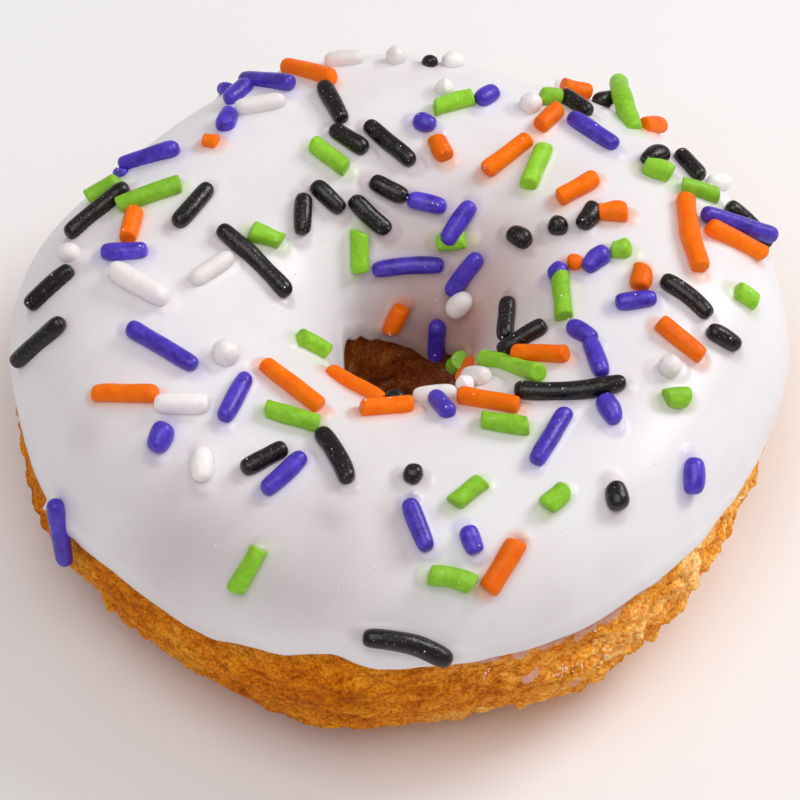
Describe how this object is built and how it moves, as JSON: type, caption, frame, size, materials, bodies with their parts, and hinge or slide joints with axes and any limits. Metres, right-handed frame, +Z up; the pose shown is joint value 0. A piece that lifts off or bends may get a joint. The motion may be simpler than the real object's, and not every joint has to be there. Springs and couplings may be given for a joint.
{
  "type": "sprinkle frosted doughnut",
  "caption": "Ring doughnut with a craggy fried crust, white icing over its upper half and coloured rod sprinkles stuck in the icing.",
  "frame": {"origin": "centre of the bounding box at its base, on the surface the doughnut rests on", "axes": "+Z up through the hole, +X to the right of the picture, +Y away from the camera"},
  "size_m": [0.0804, 0.0801, 0.0305],
  "materials": {
    "fried_dough": "fried crust, matt and crumbly, a little oily",
    "white_icing": "smooth poured icing, half gloss",
    "black_sprinkles": "hard sugar, glossy with pale specks",
    "purple_sprinkles": "hard sugar, satin",
    "green_sprinkles": "hard sugar, satin",
    "orange_sprinkles": "hard sugar, satin",
    "white_sprinkles": "hard sugar, satin"
  },
  "bodies": {
    "root": {"dough": "fried_dough", "icing": "white_icing"}
  },
  "joints": []
}
